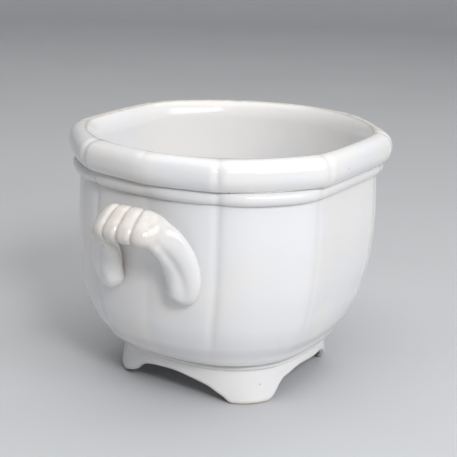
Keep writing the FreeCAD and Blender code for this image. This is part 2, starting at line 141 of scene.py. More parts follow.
class PlanterHandles(bpy.types.PropertyGroup):
    stand_off: mm(31.1, "Stand-off", "How far the crown stands out from the wall's creases")
    crown_width: mm(47.0, "Crown Width", "Length of the ribbed crown")
    crown_height: mm(163.8, "Crown Height", "Height of the crown's centre line")
    foot_height: mm(105.0, "Foot Height", "Height at which the legs meet the wall")
    leg_spread: mm(36.0, "Leg Spread", "Half the distance between the legs")
    strap_width: mm(28.0, "Strap Width", "Width of the strap")
    strap_thickness: mm(14.5, "Strap Thickness", "Thickness of the strap")
    ribs: count(4, "Ribs", "Number of ribs on the crown")
    rib_depth: mm(2.0, "Rib Depth", "Depth of the grooves between the ribs")
    vein_depth: mm(1.5, "Vein Depth", "Depth of the groove down each leg")


class PlanterGlaze(bpy.types.PropertyGroup):
    white: colour("#EBE9E7", "White", "Glaze where it lies evenly")
    cool: colour("#E8E8E9", "Cool White", "Thicker glaze, a little bluer")
    # glaze gathered in the creases; its darker tone is also painted shade where shade falls in creases and
    # crevices
    pooled_glaze_and_shade: colour("#C2BCB1", "Pooled Glaze", "Glaze that has gathered in the creases")
    thin: colour("#B9A88F", "Thin Glaze", "Body showing through where glaze broke over an edge")
    # painted shade: the dark brown for the deepest crevices, also the colour of the glaze's pinholes
    crevice_shade_and_pinholes: colour("#8B745A", "Stain", "Old dirt in the deepest crevices")
    clay: colour("#C9B697", "Bare Clay", "Unglazed fired clay under the feet")
    gloss: plain(0.1, "Gloss Roughness", "Roughness of the glaze")
    wobble: mm(0.55, "Hand Wobble", "How far the hand-finished surfaces wander")


GROUPS = {
    "planter_lobes": PlanterLobes,
    "planter_bowl": PlanterBowl,
    "planter_rim": PlanterRim,
    "planter_base": PlanterBase,
    "planter_handles": PlanterHandles,
    "planter_glaze": PlanterGlaze,
}


# Curves through tables

def steady(rows, at):
    """Columns of a table at places along its first column, on curves that never overshoot its rows."""
    table = np.array(rows, float)
    along, values = table[:, 0], table[:, 1:]
    spans = np.diff(along)[:, None]
    rises = np.diff(values, axis=0) / spans
    product = rises[:-1] * rises[1:]
    total = np.where(np.abs(rises[:-1] + rises[1:]) > 1e-12, rises[:-1] + rises[1:], 1.0)
    slopes = np.vstack([rises[:1], np.where(product > 0.0, 2.0 * product / total, 0.0), rises[-1:]])
    at = np.asarray(at, float)
    index = np.clip(np.searchsorted(along, at, side="right") - 1, 0, len(along) - 2)
    part = ((at - along[index]) / spans[index, 0])[:, None]
    start, end, span = values[index], values[index + 1], spans[index]
    lean = span * (slopes[index] * part * (1 - part) ** 2 - slopes[index + 1] * part ** 2 * (1 - part))
    return start + (end - start) * part ** 2 * (3 - 2 * part) + lean


def flowing(rows, positions):
    """Rows of a table at fractional row numbers, on a curve that runs through every row."""
    table = np.array(rows, float)
    last = len(table) - 1
    index = np.clip(positions.astype(int), 0, last - 1)
    part = (positions - index)[:, None]
    before, start = table[np.maximum(index - 1, 0)], table[index]
    end, after = table[index + 1], table[np.minimum(index + 2, last)]
    square = 2 * before - 5 * start + 4 * end - after
    cube = 3 * start - before - 3 * end + after
    return 0.5 * (2 * start + (end - before) * part + (square * part + cube * part ** 2) * part)


def arc(centre, radius, first, last, steps):
    """Points on an arc of an outline, as radius and height, between two angles in degrees."""
    angles = np.radians(np.linspace(first, last, steps))
    return np.stack([centre[0] + radius * np.cos(angles), centre[1] + radius * np.sin(angles)], 1)


# Building nodes

# Short names for the kinds used most; any other name in capitals is an operation of the Math node. A ramp
# takes a value, the two ends of its range and what it gives there, a mix or a tint a share and its two sides,
# and noise a place, a scale, detail and roughness.
SHORT_NAMES = {
    "NOISE": ("ShaderNodeTexNoise", {}),
    "RAMP": ("ShaderNodeMapRange", {}),
    "SMOOTH RAMP": ("ShaderNodeMapRange", {"interpolation_type": "SMOOTHSTEP"}),
    "MIX": ("ShaderNodeMix", {"data_type": "FLOAT"}),
    "TINT": ("ShaderNodeMix", {"data_type": "RGBA"}),
}


def feed(tree, node, inputs):
    """Link or set a node's inputs, in their order or by name."""
    sockets = [socket for socket in node.inputs if socket.enabled]
    if inputs and isinstance(inputs[0], dict):
        pairs = [(next(socket for socket in sockets if socket.name == name), value)
                 for name, value in inputs[0].items()]
    else:
        pairs = zip(sockets, inputs)
    for socket, value in pairs:
        if isinstance(value, bpy.types.Node):
            value = next(each for each in value.outputs if each.enabled)
        if isinstance(value, bpy.types.NodeSocket):
            tree.links.new(value, socket)
        else:
            socket.default_value = value


def put(tree, kind, *inputs, **settings):
    """Add a node with its settings and inputs, and give it back."""
    if kind in SHORT_NAMES:
        kind, fixed = SHORT_NAMES[kind]
        settings = {**fixed, **settings}
    elif kind.isupper():
        # a sum or product of more than two runs through one node after another
        while kind in ("ADD", "MULTIPLY") and len(inputs) > 2:
            inputs = [put(tree, kind, *inputs[:2]), *inputs[2:]]
        settings = {"operation": kind, **settings}
        kind = "ShaderNodeMath"
    node = tree.nodes.new(kind)
    for name, value in settings.items():
        setattr(node, name, value)
    feed(tree, node, inputs)
    return node


def new_tree(name, values):
    """A geometry tree with a geometry in and out and an input for each value, and what adds a node to it."""
    tree = bpy.data.node_groups.new(name, "GeometryNodeTree")
    tree.interface.new_socket("Geometry", in_out="INPUT", socket_type="NodeSocketGeometry")
    tree.interface.new_socket("Geometry", in_out="OUTPUT", socket_type="NodeSocketGeometry")
    for label, value in values.items():
        kind = {float: "NodeSocketFloat", int: "NodeSocketInt"}.get(type(value), "NodeSocketMaterial")
        tree.interface.new_socket(label, in_out="INPUT", socket_type=kind)
    return tree, partial(put, tree), tree.nodes.new("NodeGroupInput").outputs


def shader_tree(owner):
    """Empty the node tree of a material or a world, and give back what adds a node to it."""
    owner.use_nodes = True
    owner.node_tree.nodes.clear()
    return partial(put, owner.node_tree)


def bell(add, value):
    """One where the value is nothing, falling away smoothly to both sides."""
    return add("POWER", math.e, add("MULTIPLY", add("POWER", value, 2.0), -1.0))


def shaped(node, points):
    """Lead a node's curve through points, in place of the two that it starts with."""
    line = node.mapping.curves[0]
    while len(line.points) < len(points):
        line.points.new(0.5, 0.5)
    for point, place in zip(line.points, points):
        point.location = place
    node.mapping.update()
    return node


def wobble_group():
    """Hand-finished clay: the whole surface wanders a little, while what meets the floor stays level."""
    found = bpy.data.node_groups.get("Hand wobble")
    if found:
        return found
    tree, add, given = new_tree("Hand wobble", {"Amount": 0.0})
    place = add("GeometryNodeInputPosition")
    # swells about 90 mm across; noise strays from its middle by about a quarter, hence the amount fourfold
    broad = add("NOISE", place, 11.0, 1.0, 0.4)
    centred = add("ShaderNodeVectorMath", broad.outputs["Color"], (0.5, 0.5, 0.5), operation="SUBTRACT")
    height = add("ShaderNodeSeparateXYZ", place)
    off_floor = add("RAMP", height.outputs["Z"], 0.0, 50.0 * MM, 0.0, 1.0)
    reach = add("MULTIPLY", given["Amount"], 4.0)
    upward = add("MULTIPLY", reach, off_floor.outputs["Result"])
    amounts = add("ShaderNodeCombineXYZ", reach, reach, upward)
    offset = add("ShaderNodeVectorMath", centred, amounts, operation="MULTIPLY")
    moved = add("GeometryNodeSetPosition", {"Geometry": given["Geometry"], "Offset": offset})
    add("NodeGroupOutput", moved)
    return tree


# Degrees between two faces beyond which the edge between them is left sharp
SHARPEST_SMOOTH_EDGE = 52.0


def sheet_of(add, outline, columns):
    """A sheet of points with one row for each point of the outline, and each point's column and row."""
    size = add("GeometryNodeAttributeDomainSize", outline, component="MESH")
    rows = size.outputs["Point Count"]
    sheet = add("GeometryNodeMeshGrid", 1.0, 1.0, columns, rows)
    split = add("ShaderNodeSeparateXYZ", add("GeometryNodeInputPosition"))
    numbers = []
    for axis, number in (("X", columns), ("Y", rows)):
        spaces = add("SUBTRACT", number, 1.0)
        share = add("ADD", split.outputs[axis], 0.5)
        numbers.append(add("ROUND", add("MULTIPLY", share, spaces)))
    return [sheet] + numbers


def read_outline(add, outline, row, numbers, ways=()):
    """The outline's place, numbers and directions at each point's row."""
    sources = {"place": (add("GeometryNodeInputPosition"), "FLOAT_VECTOR")}
    for names, kind in ((numbers, "FLOAT"), (ways, "FLOAT_VECTOR")):
        for name in names:
            sources[name] = (add("GeometryNodeInputNamedAttribute", name, data_type=kind), kind)
    return {name: add("GeometryNodeSampleIndex", {"Geometry": outline, "Value": source, "Index": row},
                      data_type=kind) for name, (source, kind) in sources.items()}


def finish_sheet(add, sheet, kept, place, given):
    """Keep numbers for the glaze, put the sheet in place, close its seams, and give it its material."""
    for name, value in kept.items():
        sheet = add("GeometryNodeStoreNamedAttribute", {"Geometry": sheet, "Name": name, "Value": value},
                    data_type="FLOAT", domain="POINT")
    sheet = add("GeometryNodeSetPosition", {"Geometry": sheet, "Position": place})
    sheet = add("GeometryNodeMergeByDistance", {"Geometry": sheet, "Distance": 0.01 * MM})
    sheet = add("GeometryNodeGroup", sheet, given["Hand Wobble"], node_tree=wobble_group())
    sheet = add("GeometryNodeSetShadeSmooth", {"Geometry": sheet})
    bent = add("LESS_THAN", add("GeometryNodeInputMeshEdgeAngle"), math.radians(SHARPEST_SMOOTH_EDGE))
    sheet = add("GeometryNodeSetShadeSmooth", {"Geometry": sheet, "Shade Smooth": bent}, domain="EDGE")
    sheet = add("GeometryNodeRealizeInstances", {"Geometry": sheet})
    sheet = add("GeometryNodeSetMaterial", {"Geometry": sheet, "Material": given["Material"]})
    add("NodeGroupOutput", sheet)


# "flat" is one over the distance to the flat inner faces, and nothing on the outside
LOBE_NUMBERS = ["facet", "bulge", "rim_bulge", "square", "nip", "drop", "lean", "flat", "crevice", "lip"]
LOBES = 10.0
# Share of a lobe by which the mesh's columns are drawn together at its creases
CROWDING = 0.1
# Radius to which the glaze rounds the bottom of a pinch
PINCH_ROUNDING = 0.45 * MM
# Strength of the creases behind the handles, and of the others
WEAK_CREASE, FULL_CREASE = 0.3, 1.0
# How sharply the flat inner faces turn into the round ones
FLAT_POWER = 44.0
# Distances from a crease at which the glaze gathered in it, with painted shade, lies full and at which there
# is none
GATHERED_AND_SHADED = (0.4 * MM, 4.0 * MM)


def lobed_tree(values):
    """Turns an outline about Z and swells it into ten upright lobes between creases at set angles."""
    found = bpy.data.node_groups.get("Lobed turning")
    if found:
        return found
    tree, add, given = new_tree("Lobed turning", values)
    steps = given["Steps per Lobe"]
    columns = add("MULTIPLY_ADD", steps, LOBES, 1.0)
    sheet, column, row = sheet_of(add, given["Geometry"], columns)
    at = read_outline(add, given["Geometry"], row, LOBE_NUMBERS)

    # which lobe a column is on, and how far across it, with the columns drawn together at the creases
    lobe = add("FLOOR", add("DIVIDE", column, steps))
    part = add("DIVIDE", add("MODULO", column, steps), steps)
    wave = add("SINE", add("MULTIPLY", part, 2.0 * math.pi))
    across = add("MULTIPLY_ADD", wave, -CROWDING, part)
    kind = add("MODULO", lobe, LOBES / 2.0)
    half = add("FLOOR", add("DIVIDE", lobe, LOBES / 2.0))
    far = [add("SUBTRACT", math.pi, given[name]) for name in ("Wide Crease", "Narrow Crease")]
    creases = [0.0, given["Narrow Crease"], given["Wide Crease"], *far, math.pi]
    bulges = [given[name] for name in ("Narrow Bulge", "Middle Bulge", "Wide Bulge")]
    rim_bulges = [given[name] for name in ("Narrow Rim Bulge", "Middle Rim Bulge", "Wide Rim Bulge")]
    reaches = [0.0] + [given["Corner Reach"]] * 4 + [0.0]
    picked = []
    for choices in (creases[:5], creases[1:], bulges + bulges[1::-1], rim_bulges + rim_bulges[1::-1],
                    reaches[:5], reaches[1:]):
        switch = add("GeometryNodeIndexSwitch", data_type="FLOAT")
        while len(switch.index_switch_items) < len(choices):
            switch.index_switch_items.new()
        feed(tree, switch, [kind, *choices])
        picked.append(switch)
    start, end, bulge, rim_bulge, start_reach, end_reach = picked
    width = add("SUBTRACT", end, start)
    inside = add("MULTIPLY_ADD", width, across, start)
    angle = add("MULTIPLY_ADD", half, math.pi, inside)

    # swell of the lobe, with its creases filled a little by the glaze
    outward = add("ABSOLUTE", add("MULTIPLY_ADD", across, 2.0, -1.0))
    fall = add("POWER", outward, given["Roundness"])
    rim_swell = add("MULTIPLY", rim_bulge, at["rim_bulge"])
    most = add("MULTIPLY_ADD", bulge, at["bulge"], rim_swell)
    full = add("MULTIPLY", add("SUBTRACT", 1.0, fall), most)
    filled = add("MULTIPLY", at["facet"], given["Crease Softness"])
    filled = add("MULTIPLY", filled, filled)
    swell = add("POWER", add("MULTIPLY_ADD", full, full, filled), 0.5)

    # distance to the nearest crease, and the pinch beside it
    split = add("ShaderNodeSeparateXYZ", at["place"])
    nearest = add("MINIMUM", across, add("SUBTRACT", 1.0, across))
    away = add("MULTIPLY", nearest, width, split.outputs["X"])
    distance = add("POWER", add("MULTIPLY_ADD", away, away, PINCH_ROUNDING ** 2), 0.5)
    reach = add("RAMP", distance, 0.0, given["Nip Reach"], 1.0, 0.0)
    past_middle = add("GREATER_THAN", across, 0.5)
    strength = add("DIVIDE", add("MIX", past_middle, start_reach, end_reach), given["Corner Reach"])
    strength = add("MULTIPLY_ADD", strength, FULL_CREASE - WEAK_CREASE, WEAK_CREASE)
    pinch = add("MULTIPLY", add("POWER", reach, 2.0), given["Nip"], strength)
    square = add("COSINE", add("MULTIPLY", angle, 4.0))
    square = add("MULTIPLY", square, given["Squareness"], at["square"])

    # the lobe's plan is drawn from round towards the straight line between its two creases
    ends = []
    for reach_out, other_part in ((start_reach, across), (end_reach, add("SUBTRACT", 1.0, across))):
        far_out = add("ADD", split.outputs["X"], reach_out)
        sine = add("SINE", add("MULTIPLY", width, other_part))
        ends.append((far_out, add("MULTIPLY", far_out, sine)))
    product = add("MULTIPLY", ends[0][0], ends[1][0], add("SINE", width))
    total = add("ADD", ends[0][1], ends[1][1])
    straight = add("DIVIDE", product, total)
    drawn = add("MULTIPLY", add("SUBTRACT", straight, split.outputs["X"]), at["facet"])
    radius = add("ADD", add("SUBTRACT", split.outputs["X"], square), swell, drawn)
    radius = add("SUBTRACT", radius, add("MULTIPLY", pinch, at["nip"]))

    # inside, the front and back are cut straight, with a soft corner where they meet the round
    sine = add("SINE", angle)
    past = add("MULTIPLY", radius, at["flat"], sine)
    past = add("POWER", add("ABSOLUTE", past), FLAT_POWER)
    past = add("POWER", add("ADD", past, 1.0), -1.0 / FLAT_POWER)
    radius = add("MULTIPLY", radius, past)
    height = add("SUBTRACT", split.outputs["Z"], add("MULTIPLY", pinch, at["drop"]))
    lean = add("MULTIPLY", given["Lean"], at["lean"])
    flat_place = []
    for operation in ("COSINE", "SINE"):
        leaning = add("MULTIPLY", lean, add(operation, given["Lean Direction"]))
        flat_place.append(add("MULTIPLY_ADD", radius, add(operation, angle), leaning))
    place = add("ShaderNodeCombineXYZ", *flat_place, height)

    # how deep a point lies in a crease, for the glaze gathered there and the painted shade that darkens it
    deep = add("SMOOTH RAMP", distance, *GATHERED_AND_SHADED, 1.0, 0.0)
    crease = add("MULTIPLY", deep, at["facet"], strength)
    kept = {"crease": crease, "crevice": at["crevice"], "lip": at["lip"]}
    finish_sheet(add, sheet, kept, place, given)
    return tree


# Each row: height share, flare of the whole apron, flare at the feet
APRON_ROWS = [(0.0, 0.95, 1.0), (0.10, 1.0, 0.97), (0.20, 0.95, 0.90), (0.40, 0.72, 0.58),
              (0.63, 0.43, 0.22), (0.85, 0.15, 0.03), (1.0, 0.0, 0.0)]
# Height of the apron's lower edge from one foot round to the next: under the wide front foot, and as it was
# cut under the other three
WIDE_ARCH_ROWS = [(0.0, 0.0), (0.095, 0.0), (0.122, 0.06), (0.156, 0.24), (0.206, 0.58), (0.244, 0.72),
                  (0.278, 0.77), (0.35, 0.88), (0.42, 0.92), (0.5, 0.90), (0.55, 0.86), (0.622, 0.77),
                  (0.733, 0.58), (0.789, 0.40), (0.844, 0.20), (0.90, 0.0), (1.0, 0.0)]
NARROW_ARCH_ROWS = [(0.0, 0.0), (0.01, 0.0), (0.05, 0.08), (0.10, 0.20), (0.167, 0.37), (0.211, 0.60),
                    (0.278, 0.81), (0.344, 0.88), (0.444, 0.89), (0.5, 0.90), (0.6, 0.93), (0.69, 0.89),
                    (0.75, 0.81), (0.80, 0.68), (0.86, 0.43), (0.92, 0.17), (0.98, 0.0), (1.0, 0.0)]
FOOT_NUMBERS = ["rise", "inset", "lift", "fixed", "height", "step", "crevice", "sole"]
# Share of the way from a foot's middle to the next arch's middle over which its flare dies out
FOOT_REACH = 16.0 / 45.0
# How much of the flare the front foot's toe takes, and the other toes
FRONT_TOE, OTHER_TOE = 1.3, 0.6
# Direction of the front foot, from the handle axis
FRONT_FOOT = 1.25 * math.pi
# Heights between which the bare clay under the feet goes over into glaze
BARE_CLAY = (0.3 * MM, 2.0 * MM)
# Wear of the glaze on the apron's lower edges
SOLE_WEAR = 0.35


def foot_tree(values):
    """Turns an outline into a squarish apron, splays it, and arches its lower edge over four feet."""
    tree, add, given = new_tree("Bracket feet", values)
    columns = add("ADD", given["Steps"], 1.0)
    sheet, column, row = sheet_of(add, given["Geometry"], columns)
    at = read_outline(add, given["Geometry"], row, FOOT_NUMBERS)
    share = add("DIVIDE", column, given["Steps"])
    angle = add("MULTIPLY", share, 2.0 * math.pi)
    quarter = add("MODULO", add("MULTIPLY", share, 4.0), 1.0)
    from_foot = add("ABSOLUTE", add("MULTIPLY_ADD", quarter, 2.0, -1.0))
    foot_to_foot = add("MODULO", add("MULTIPLY_ADD", share, 4.0, 0.5), 1.0)
    to_front = add("COSINE", add("SUBTRACT", angle, FRONT_FOOT))
    aside = add("SMOOTH RAMP", to_front, 0.4, 0.8, 1.0, 0.0)
    arches = [shaped(add("ShaderNodeFloatCurve", {"Value": foot_to_foot}), rows)
              for rows in (WIDE_ARCH_ROWS, NARROW_ARCH_ROWS)]
    arch = add("MIX", aside, *arches)
    lower = add("MULTIPLY", arch, given["Arch Height"])

    # height of each point: between the lower edge and the band, or fixed within the band
    room = add("SUBTRACT", given["Apron Height"], lower)
    hung = add("ADD", add("MULTIPLY_ADD", room, at["rise"], lower), at["lift"])
    to_band = add("SUBTRACT", at["height"], hung)
    height = add("MULTIPLY_ADD", to_band, at["fixed"], hung)

    # radius of each point
    up = add("DIVIDE", height, given["Apron Height"], use_clamp=True)
    heights, *columns_out = zip(*APRON_ROWS)
    splay, flare = [shaped(add("ShaderNodeFloatCurve", {"Value": up}), list(zip(heights, column_out)))
                    for column_out in columns_out]
    near_foot = bell(add, add("MULTIPLY", from_foot, 1.0 / FOOT_REACH))
    kick = add("MULTIPLY_ADD", aside, OTHER_TOE - FRONT_TOE, FRONT_TOE)
    toe = add("MULTIPLY", flare, given["Foot Flare"], near_foot, kick)
    drawn_in = add("POWER", add("RAMP", up, 0.0, 0.3, 1.0, 0.0), 2.0)
    drawn_in = add("MULTIPLY", drawn_in, given["Toe Tuck"], aside)
    toe = add("SUBTRACT", toe, drawn_in)
    corner = add("MULTIPLY", add("COSINE", add("MULTIPLY", angle, 4.0)), given["Squareness"])
    radius = add("MULTIPLY_ADD", splay, given["Spread"], add("SUBTRACT", given["Radius"], corner))
    radius = add("SUBTRACT", add("ADD", radius, toe, at["step"]), at["inset"])
    place = add("ShaderNodeCombineXYZ", add("MULTIPLY", radius, add("COSINE", angle)),
                add("MULTIPLY", radius, add("SINE", angle)), height)
    low = add("RAMP", height, *BARE_CLAY, 1.0, 0.0)
    kept = {"crevice": at["crevice"], "sole": add("MULTIPLY", low, at["sole"]),
            "lip": add("MULTIPLY", at["sole"], SOLE_WEAR)}
    finish_sheet(add, sheet, kept, place, given)
    return tree


# How much rounder the strap's section gets from the crown to the feet of the legs
ROUNDER = 0.3
STRAP_NUMBERS = ["half_width", "half_thickness", "along", "leg", "vein_place", "vein", "lobe", "closing"]
# How narrow the grooves between the ribs are, and how far they run past the crown's ends
GROOVE_POWER, GROOVE_PAST = 4.0, 0.6 * MM
# Reach of the neck beside the last rib, and its depth as a share of a groove's
NECK_REACH, NECK_DEPTH = 3.4 * MM, 0.5
# Share of its height from which the last rib fades out, and the distance over which it does
LAST_RIB, RIB_FADE = 0.85, 8.0 * MM
# Places across the outer face, from edge to edge: width of the vein, and middle and width of the lobe
VEIN_WIDTH, LOBE_MIDDLE, LOBE_WIDTH = 0.24, 0.42, 0.4
# Height of the lobe
LOBE_RISE = 1.6 * MM
# Line along the strap's inner edge: its depth, and its place behind the strap's middle and width as shares of
# half the thickness
EDGE_LINE_DEPTH, EDGE_LINE_BACK, EDGE_LINE_WIDTH = 1.3 * MM, 0.35, 0.16
# Distances from the pot's axis between which the painted shade where the legs join the wall runs out
SEAM_SHADE_REACH = (127.0 * MM, 137.0 * MM)
# Strength of that painted shade at the wall
SEAM_SHADE_FULL = 1.5
# Wear of the glaze on the crown, and painted shade in its grooves
CROWN_WEAR, GROOVE_SHADE = 0.62, 0.8


def strap_tree(values):
    """Sweeps a rounded strap along a path, ribs its crown, and runs a vein down each leg."""
    found = bpy.data.node_groups.get("Ribbed strap")
    if found:
        return found
    tree, add, given = new_tree("Ribbed strap", values)
    columns = add("ADD", given["Steps Around"], 1.0)
    sheet, column, row = sheet_of(add, given["Geometry"], columns)
    at = read_outline(add, given["Geometry"], row, STRAP_NUMBERS, ["way_across", "way_outward"])
    angle = add("MULTIPLY", add("DIVIDE", column, given["Steps Around"]), 2.0 * math.pi)
    power = add("MULTIPLY_ADD", add("POWER", at["leg"], 2.0), ROUNDER, given["Roundness"])
    spread = []
    for operation in ("COSINE", "SINE"):
        wave = add(operation, angle)
        spread.append(add("MULTIPLY", add("POWER", add("ABSOLUTE", wave), power), add("SIGN", wave)))
    side, face = spread

    # ribs: rounded ridges side by side along the crown, with narrow grooves between them
    rib = add("DIVIDE", given["Crown Width"], given["Ribs"])
    # a hundred ribs more keep the number positive, as the remainder needs
    number = add("ADD", add("DIVIDE", at["along"], rib), 100.0)
    across = add("MULTIPLY_ADD", add("MODULO", number, 1.0), 2.0, -1.0)
    groove = add("POWER", add("ABSOLUTE", across), GROOVE_POWER)
    half = add("MULTIPLY", given["Crown Width"], 0.5)
    past = add("SUBTRACT", add("ABSOLUTE", at["along"]), half)
    on_crown = add("LESS_THAN", past, GROOVE_PAST)
    neck = bell(add, add("MULTIPLY", past, 1.0 / NECK_REACH))
    under = add("SMOOTH RAMP", side, -0.3, 0.7, 0.0, 1.0)
    neck = add("MULTIPLY", neck, under, NECK_DEPTH)
    crown_groove = add("MULTIPLY", groove, on_crown)
    outer_end = add("GREATER_THAN", past, add("MULTIPLY", rib, -0.5))
    dip = add("MIX", outer_end, crown_groove, neck)
    ridge = add("SMOOTH RAMP", past, 0.0, RIB_FADE, LAST_RIB, 0.0)
    swell = add("MULTIPLY", add("SUBTRACT", ridge, dip), given["Rib Depth"])

    # vein, and the swollen lobe at the leg's foot
    on_face = add("SMOOTH RAMP", face, 0.1, 0.7, 0.0, 1.0)
    bells = []
    for centre, wide in ((at["vein_place"], VEIN_WIDTH), (LOBE_MIDDLE, LOBE_WIDTH)):
        off = add("MULTIPLY", add("SUBTRACT", side, centre), 1.0 / wide)
        bells.append(add("MULTIPLY", bell(add, off), on_face))
    vein = add("MULTIPLY", bells[0], at["vein"], given["Vein Depth"])
    raised = add("MULTIPLY", bells[1], at["lobe"], LOBE_RISE)
    inner = bell(add, add("MULTIPLY", add("ADD", face, EDGE_LINE_BACK), 1.0 / EDGE_LINE_WIDTH))
    inner_side = add("SMOOTH RAMP", side, 0.6, 0.9, 0.0, 1.0)
    line = add("MULTIPLY", inner, inner_side, at["vein"])
    pull = add("MULTIPLY", line, EDGE_LINE_DEPTH)

    # the point's place
    wide = add("SUBTRACT", add("ADD", at["half_width"], swell), pull)
    wide = add("MULTIPLY", wide, side, at["closing"])
    thick = add("MULTIPLY", add("ADD", at["half_thickness"], swell), face)
    thick = add("ADD", add("SUBTRACT", thick, vein), raised)
    thick = add("MULTIPLY", thick, at["closing"])
    place = at["place"]
    for way, amount in (("way_across", wide), ("way_outward", thick)):
        step = add("ShaderNodeVectorMath", {"Vector": at[way], "Scale": amount}, operation="SCALE")
        place = add("ShaderNodeVectorMath", place, step, operation="ADD")

    # what is buried in the wall stops short of the bowl's inside
    flat = add("ShaderNodeVectorMath", place, (1.0, 1.0, 0.0), operation="MULTIPLY")
    radius = add("ShaderNodeVectorMath", flat, operation="LENGTH")
    kept_out = add("DIVIDE", given["Inner Radius"], radius.outputs["Value"])
    kept_out = add("MAXIMUM", kept_out, 1.0)
    stretch = add("ShaderNodeCombineXYZ", kept_out, kept_out, 1.0)
    place = add("ShaderNodeVectorMath", place, stretch, operation="MULTIPLY")

    # for the glaze: the veins and grooves, painted shade where the legs join the wall and in the crown's
    # grooves, and the crown's wear
    crease = add("MAXIMUM", dip, add("MULTIPLY", vein, 0.4 / MM))
    crease = add("MAXIMUM", crease, line)
    seam_shade = add("MULTIPLY", add("RAMP", radius.outputs["Value"], *SEAM_SHADE_REACH, SEAM_SHADE_FULL, 0.0), at["leg"])
    wear_and_groove_shade = add("POWER", add("SUBTRACT", 1.0, at["leg"]), 4.0)
    # the crown's wear, and painted shade in the grooves between the ribs
    wear_and_groove_shade = add("MAXIMUM", add("MULTIPLY", wear_and_groove_shade, CROWN_WEAR), add("MULTIPLY", dip, GROOVE_SHADE))
    kept = {"crease": crease, "crevice": seam_shade, "lip": wear_and_groove_shade}
    finish_sheet(add, sheet, kept, place, given)
    return tree


# From outlines to finished pieces

def outline_object(name, places, numbers):
    """A row of points that carries an outline's numbers as attributes, for a tree to read."""
    mesh = bpy.data.meshes.new(name)
    mesh.from_pydata([tuple(place) for place in places],
                     [(index, index + 1) for index in range(len(places) - 1)], [])
    for label, values in numbers.items():
        values = np.asarray(values, np.float32)
        kind, key = ("FLOAT_VECTOR", "vector") if values.ndim == 2 else ("FLOAT", "value")
        mesh.attributes.new(label, kind, "POINT").data.foreach_set(key, values.ravel())
    item = bpy.data.objects.new(name, mesh)
    bpy.context.scene.collection.objects.link(item)
    return item


def signed_volume(mesh):
    """Volume inside a closed mesh, less than nothing where its faces point inwards."""
    mesh.calc_loop_triangles()
    corners = np.empty(len(mesh.loop_triangles) * 3, np.int32)
    mesh.loop_triangles.foreach_get("vertices", corners)
    places = np.empty(len(mesh.vertices) * 3, np.float32)
    mesh.vertices.foreach_get("co", places)
    a, b, c = np.moveaxis(places.reshape(-1, 3)[corners.reshape(-1, 3)].astype(float), 1, 0)
    return float(np.einsum("ij,ij->i", a, np.cross(b, c)).sum() / 6.0)


def finish_piece(item, build, sizes, scene, node):
    """Run a tree on an outline, keep the result as a plain mesh, and let it stand for a CAD node."""
    values = {**sizes, "Hand Wobble": scene.planter_glaze.wobble, "Material": glaze_material(scene)}
    tree = build(values)
    modifier = item.modifiers.new(tree.name, "NODES")
    modifier.node_group = tree
    for socket in tree.interface.items_tree:
        if socket.in_out == "INPUT" and socket.name in values:
            modifier[socket.identifier] = values[socket.name]
    bpy.context.view_layer.update()
    ready = item.evaluated_get(bpy.context.evaluated_depsgraph_get())
    mesh = bpy.data.meshes.new_from_object(ready)
    mesh.name = item.name
    item.modifiers.remove(modifier)
    item.data = mesh
    if not mesh.polygons:
        raise RuntimeError("%s came out empty" % item.name)
    if signed_volume(mesh) < 0.0:
        mesh.flip_normals()
    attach(item, "root")
    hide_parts(node)


def named(group, *names):
    """Settings of a group, under the names that the sidebar shows and the trees' inputs carry."""
    return {group.bl_rna.properties[name].name: getattr(group, name) for name in names}


def turned_outline(name, radius, height, labels, columns):
    """An outline in the XZ plane, with a column of numbers for each label."""
    places = np.column_stack([radius, np.zeros(len(radius)), height])
    return outline_object(name, places, dict(zip(labels, columns)))


def lobed_piece(name, scene, rows, node):
    """Each row: radius and height, then the numbers in the order of LOBE_NUMBERS."""
    radius, height, *columns = np.array(rows, float).T
    item = turned_outline(name, radius, height, LOBE_NUMBERS, columns)
    sizes = {
        **named(scene.planter_lobes, *PlanterLobes.__annotations__),
        **named(scene.planter_bowl, "lean", "lean_way"),
        **named(scene.planter_rim, "narrow_bulge", "middle_bulge", "wide_bulge", "nip", "nip_reach"),
        **named(scene.planter_base, "square"),
    }
    finish_piece(item, lobed_tree, sizes, scene, node)


# Each row of the wall: height share, radius from the base out to the crease radius, facet and bulge,
# squareness, lean
WALL_ROWS = [
    (0.000, 0.000, 0.06, 1.00, 0.00),
    (0.030, 0.269, 0.12, 0.90, 0.67),
    (0.085, 0.428, 0.30, 0.60, 1.00),
    (0.163, 0.649, 0.55, 0.30, 1.00),
    (0.295, 0.846, 0.85, 0.08, 0.86),
    (0.507, 0.967, 1.00, 0.00, 0.27),
    (0.772, 1.015, 1.00, 0.00, 0.05),
    (1.000, 0.981, 1.00, 0.00, 0.00),
]


def near(value, middle, reach):
    """One at the middle, falling away smoothly to nothing about two reaches off."""
    return math.exp(-((value - middle) / reach) ** 2)


def ray(degrees):
    """How far a direction in an outline goes across and up."""
    return math.cos(math.radians(degrees)), math.sin(math.radians(degrees))


# Reach of the glaze gathered, with painted shade, in the corners along the bowl's foot and seat, and in the
# rim's notch and seat
FOOT_CORNER, SEAT_CORNER, NOTCH_CORNER, RIM_CORNER = 1.8 * MM, 1.6 * MM, 1.7 * MM, 1.3 * MM
# Share of the rim's pinches that runs down into the top of the wall
WALL_NIP = 0.45
# Share of the wall's height at which the straight upper inside begins
STRAIGHT_FROM = 0.8
# Degrees below its middle at which each roll leaves what is under it, and above it at which each roll ends
ROLL_FROM, BEAD_TO, ROLL_TO = 60.0, 52.0, 84.0
# Power that makes the large roll's upper side squarer than a circle
SQUARER = 0.88
# Place of the rim's notch: past the crease radius, and below the top of the small roll
NOTCH_OUT, NOTCH_BELOW = 1.3 * MM, 0.6 * MM


